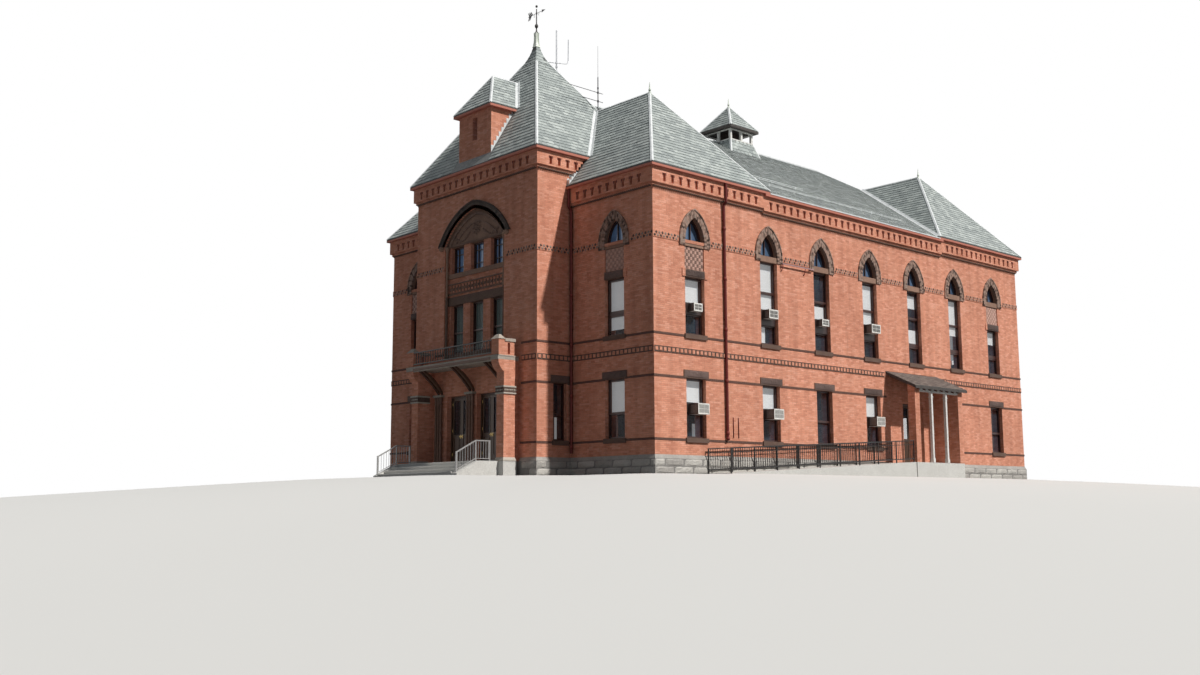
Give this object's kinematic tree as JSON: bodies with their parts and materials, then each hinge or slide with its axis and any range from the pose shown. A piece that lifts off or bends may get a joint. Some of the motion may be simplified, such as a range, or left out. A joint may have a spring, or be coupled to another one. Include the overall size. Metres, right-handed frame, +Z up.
{
  "type": "town hall building",
  "caption": "Two-storey brick town hall with a spired tower pavilion, hipped slate roofs, a roof ventilator, a balcony porch and a side porch with a ramp.",
  "frame": {"origin": "on the ground under the middle of the tower's front face", "axes": "+Z up, -Y is the front with the doors, +X is the side with the ramp"},
  "size_m": [17.78, 28.585, 19.2275],
  "materials": {
    "granite": "rock-faced light grey granite",
    "floor_boards": "worn boards on a joisted deck",
    "brick": "orange-red pressed brick",
    "sandstone": "brown-grey dressed sandstone",
    "painted_wood": "off-white gloss paint",
    "dark_wood": "brown varnish",
    "dark_paint": "dark red-brown gloss paint",
    "glass": "clear",
    "slate": "grey-green riven slate",
    "painted_metal": "weathered",
    "concrete": "smooth cast concrete",
    "iron": "dark paint",
    "pipe_metal": "painted",
    "unit_plastic": "matte",
    "aluminium": "satin"
  },
  "bodies": {
    "building": {"air_conditioners": "unit_plastic", "back_block_roof": "slate", "back_wall": "brick", "brick_bands": "brick", "door_frames": "dark_wood", "dormer_roof": "slate", "dormer_walls": "brick", "entrance_steps": "granite", "foundation": "granite", "front_block_roof": "slate", "ground_floor": "floor_boards", "hall_roof": "slate", "iron_rails": "iron", "left_wall": "brick", "porch_brackets": "dark_wood", "porch_brickwork": "brick", "porch_columns": "dark_wood", "porch_stone": "sandstone", "rainwater_pipes": "pipe_metal", "right_wall_lower": "brick", "right_wall_upper": "brick", "roof_finials": "painted_metal", "roof_masts": "aluminium", "side_landing": "concrete", "side_porch_posts": "painted_wood", "side_porch_roof": "slate", "thresholds": "granite", "tower_front_lower": "brick", "tower_front_upper": "brick", "tower_roof": "slate", "tower_sides_lower": "brick", "tower_sides_upper": "brick", "upper_floor": "floor_boards", "ventilator_base": "slate", "ventilator_posts": "painted_wood", "ventilator_roof": "slate", "water_table": "granite", "window_frames": "dark_paint", "window_glass": "glass", "window_stone": "sandstone", "wing_walls_lower": "brick", "wing_walls_upper": "brick"},
    "west_door_left_leaf": {"west_door_left": "dark_wood", "west_door_left_glass": "glass"},
    "west_door_right_leaf": {"west_door_right": "dark_wood", "west_door_right_glass": "glass"},
    "east_door_left_leaf": {"east_door_left": "dark_wood", "east_door_left_glass": "glass"},
    "east_door_right_leaf": {"east_door_right": "dark_wood", "east_door_right_glass": "glass"},
    "side_door_left_leaf": {"side_door_left": "dark_wood", "side_door_left_glass": "glass"},
    "side_door_right_leaf": {"side_door_right": "dark_wood", "side_door_right_glass": "glass"},
    "vane": {"weather_vane": "painted_metal"}
  },
  "joints": [
    {"name": "west_door_left_swing", "type": "hinge", "parent": "building", "child": "west_door_left_leaf", "pos_m": [-1.509, 0.25, 0.628], "axis": [0, 0, 1], "range_deg": [0, 90]},
    {"name": "west_door_right_swing", "type": "hinge", "parent": "building", "child": "west_door_right_leaf", "pos_m": [-0.391, 0.25, 0.628], "axis": [0, 0, -1], "range_deg": [0, 90]},
    {"name": "east_door_left_swing", "type": "hinge", "parent": "building", "child": "east_door_left_leaf", "pos_m": [0.391, 0.25, 0.628], "axis": [0, 0, 1], "range_deg": [0, 90]},
    {"name": "east_door_right_swing", "type": "hinge", "parent": "building", "child": "east_door_right_leaf", "pos_m": [1.509, 0.25, 0.628], "axis": [0, 0, -1], "range_deg": [0, 90]},
    {"name": "side_door_left_swing", "type": "hinge", "parent": "building", "child": "side_door_left_leaf", "pos_m": [7.81, 16.126, 0.628], "axis": [0, 0, 1], "range_deg": [0, 90]},
    {"name": "side_door_right_swing", "type": "hinge", "parent": "building", "child": "side_door_right_leaf", "pos_m": [7.81, 17.444, 0.628], "axis": [0, 0, -1], "range_deg": [0, 90]},
    {"name": "vane_turn", "type": "hinge", "parent": "building", "child": "vane", "pos_m": [0, 3.03, 18.6803], "axis": [0, 0, 1], "continuous": true}
  ]
}
